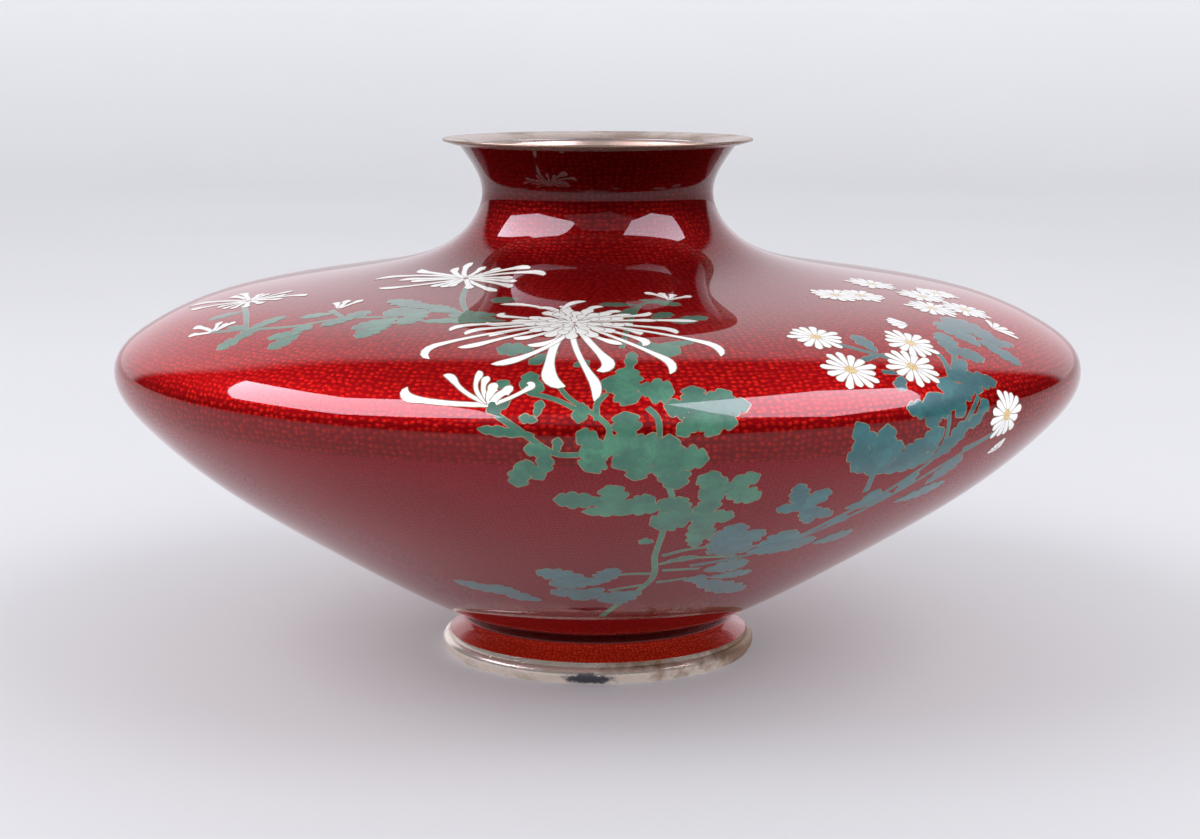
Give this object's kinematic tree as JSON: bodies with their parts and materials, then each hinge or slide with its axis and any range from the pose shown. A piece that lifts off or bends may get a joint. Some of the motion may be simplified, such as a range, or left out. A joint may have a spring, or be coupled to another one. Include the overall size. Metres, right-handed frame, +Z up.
{
  "type": "cloisonne vase",
  "caption": "Squat wide-shouldered enamelled vase with a short waisted neck, silver rims and chrysanthemum sprays in silver wire; holds flowers or stands as an ornament.",
  "frame": {"origin": "centre of the circle that the foot rim rests on, in the plane of the surface it stands on", "axes": "+Z up along the vase's axis of revolution; -Y is the front, where the large spider chrysanthemum is drawn; +X is to the viewer's right"},
  "size_m": [0.24, 0.2401, 0.1297],
  "materials": {
    "copper": "spun copper, bare only under the enamels",
    "solder": "soft solder film",
    "silver_foil": "stippled silver foil under glass",
    "mouth_silver": "polished silver, lightly toned",
    "foot_silver": "polished silver with brown toning",
    "red_enamel": "translucent deep red enamel over silver foil, polished",
    "orange_red_enamel": "translucent orange red enamel over silver foil, polished",
    "counter_enamel": "opaque speckled grey blue enamel",
    "silver_wire": "fine flat silver wire, polished flush",
    "green_enamel": "semi-opaque green enamel, polished",
    "teal_enamel": "semi-opaque teal enamel, polished",
    "blue_green_enamel": "semi-opaque blue green enamel, polished",
    "yellow_enamel": "opaque pale yellow enamel, polished",
    "white_enamel": "opaque white enamel, polished"
  },
  "bodies": {
    "root": {"copper_lower_bowl": "copper", "copper_shoulder": "copper", "copper_neck": "copper", "copper_foot_ring": "copper", "girth_solder": "solder", "neck_solder": "solder", "foot_solder": "solder", "silver_foil_belly": "silver_foil", "silver_foil_shoulder": "silver_foil", "silver_foil_neck": "silver_foil", "silver_foil_foot": "silver_foil", "red_enamel_body": "red_enamel", "red_enamel_foot": "orange_red_enamel", "counter_enamel_inside": "counter_enamel", "counter_enamel_base": "counter_enamel", "silver_mouth_rim": "mouth_silver", "silver_foot_rim": "foot_silver", "spider_mum_petals": "white_enamel", "spider_mum_wires": "silver_wire", "spider_mum_heart": "white_enamel", "rear_mum_petals": "white_enamel", "rear_mum_wires": "silver_wire", "side_mum_petals": "white_enamel", "side_mum_wires": "silver_wire", "profile_mum_petals": "white_enamel", "small_mum_petals": "white_enamel", "bud_petals": "white_enamel", "daisy_white_petals": "white_enamel", "daisy_yellow_centres": "yellow_enamel", "front_leaves": "green_enamel", "front_leaf_wires": "silver_wire", "low_leaves": "blue_green_enamel", "low_leaf_wires": "silver_wire", "right_leaves": "teal_enamel", "right_leaf_wires": "silver_wire", "rear_leaves": "green_enamel", "rear_leaf_wires": "silver_wire", "slim_leaves": "teal_enamel", "front_stems": "green_enamel", "right_stems": "teal_enamel", "rear_stems": "green_enamel"}
  },
  "joints": []
}
